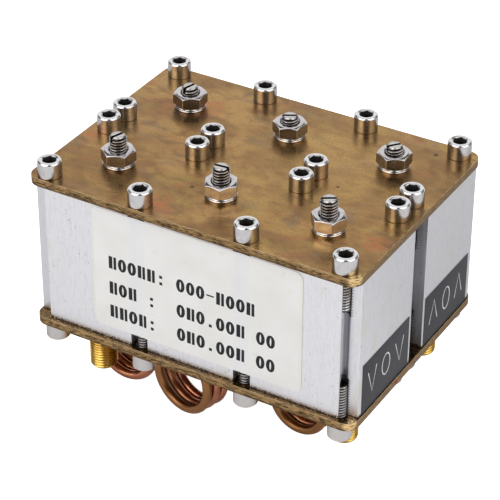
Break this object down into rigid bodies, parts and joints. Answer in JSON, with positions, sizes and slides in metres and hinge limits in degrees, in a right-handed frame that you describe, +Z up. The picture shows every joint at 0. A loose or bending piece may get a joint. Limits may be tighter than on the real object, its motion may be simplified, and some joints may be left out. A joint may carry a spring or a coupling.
{
  "type": "rf duplexer",
  "caption": "Duplexer of helical resonators in two aluminium cavity bodies between brass plates, with tuning screws on top and coiled coax lines and coaxial jacks below.",
  "frame": {"origin": "under the middle of the plates, on the surface that the coax coils rest on", "axes": "+X along the length towards the end labels, -Y out of the front label, +Z up towards the tuning screws"},
  "size_m": [0.0822, 0.0594, 0.0646],
  "materials": {
    "brass_sheet": "tarnished, mottled, sawn edges",
    "extruded_aluminium": "brushed along the extrusion",
    "bright_screw": "bright nickel plate",
    "satin_screw": "satin zinc plate",
    "tuning_screw": "nickel plate, machined slot",
    "lock_nut": "nickel plate",
    "lock_washer": "nickel plate, edges worn",
    "plated_wire": "silver plate",
    "copper_coax": "oxidised copper",
    "tap_wire": "silver plate",
    "gold_plate": "bright gold plate",
    "ptfe": "white PTFE",
    "paper_label": "laminated paper, glossy",
    "dark_label": "satin laminate"
  },
  "bodies": {
    "housing": {"top_plate": "brass_sheet", "bottom_plate": "brass_sheet", "low_band_body": "extruded_aluminium", "high_band_body": "extruded_aluminium", "top_cap_screws": "bright_screw", "bottom_cap_screws": "satin_screw", "low_lock_nut_1": "lock_nut", "low_lock_nut_2": "lock_nut", "low_lock_nut_3": "lock_nut", "high_lock_nut_1": "lock_nut", "high_lock_nut_2": "lock_nut", "high_lock_nut_3": "lock_nut", "low_lock_washer_1": "lock_washer", "low_lock_washer_2": "lock_washer", "low_lock_washer_3": "lock_washer", "high_lock_washer_1": "lock_washer", "high_lock_washer_2": "lock_washer", "high_lock_washer_3": "lock_washer", "low_resonator_1": "plated_wire", "low_resonator_2": "plated_wire", "low_resonator_3": "plated_wire", "high_resonator_1": "plated_wire", "high_resonator_2": "plated_wire", "high_resonator_3": "plated_wire", "antenna_line": "copper_coax", "low_line_1": "copper_coax", "low_line_2": "copper_coax", "high_line_1": "copper_coax", "high_line_2": "copper_coax", "antenna_line_taps": "tap_wire", "low_line_1_taps": "tap_wire", "low_line_2_taps": "tap_wire", "high_line_1_taps": "tap_wire", "high_line_2_taps": "tap_wire", "antenna_jack_shell": "gold_plate", "low_jack_shell": "gold_plate", "high_jack_shell": "gold_plate", "antenna_jack_insulator": "ptfe", "low_jack_insulator": "ptfe", "high_jack_insulator": "ptfe", "antenna_jack_contact": "gold_plate", "low_jack_contact": "gold_plate", "high_jack_contact": "gold_plate", "front_label": "paper_label", "low_band_label": "dark_label", "high_band_label": "dark_label"},
    "low_tuning_screw_1": {"low_tuning_screw_1": "tuning_screw"},
    "low_tuning_screw_2": {"low_tuning_screw_2": "tuning_screw"},
    "low_tuning_screw_3": {"low_tuning_screw_3": "tuning_screw"},
    "high_tuning_screw_1": {"high_tuning_screw_1": "tuning_screw"},
    "high_tuning_screw_2": {"high_tuning_screw_2": "tuning_screw"},
    "high_tuning_screw_3": {"high_tuning_screw_3": "tuning_screw"}
  },
  "joints": [
    {"name": "low_tuner_1", "type": "slide", "parent": "housing", "child": "low_tuning_screw_1", "axis": [0, 0, 1], "range_m": [-0.0035, 0.00815]},
    {"name": "low_tuner_2", "type": "slide", "parent": "housing", "child": "low_tuning_screw_2", "axis": [0, 0, 1], "range_m": [-0.0036, 0.00805]},
    {"name": "low_tuner_3", "type": "slide", "parent": "housing", "child": "low_tuning_screw_3", "axis": [0, 0, 1], "range_m": [-0.0039, 0.00775]},
    {"name": "high_tuner_1", "type": "slide", "parent": "housing", "child": "high_tuning_screw_1", "axis": [0, 0, 1], "range_m": [-0.0016, 0.01005]},
    {"name": "high_tuner_2", "type": "slide", "parent": "housing", "child": "high_tuning_screw_2", "axis": [0, 0, 1], "range_m": [-0.0015, 0.01015]},
    {"name": "high_tuner_3", "type": "slide", "parent": "housing", "child": "high_tuning_screw_3", "axis": [0, 0, 1], "range_m": [-0.00175, 0.0099]}
  ]
}
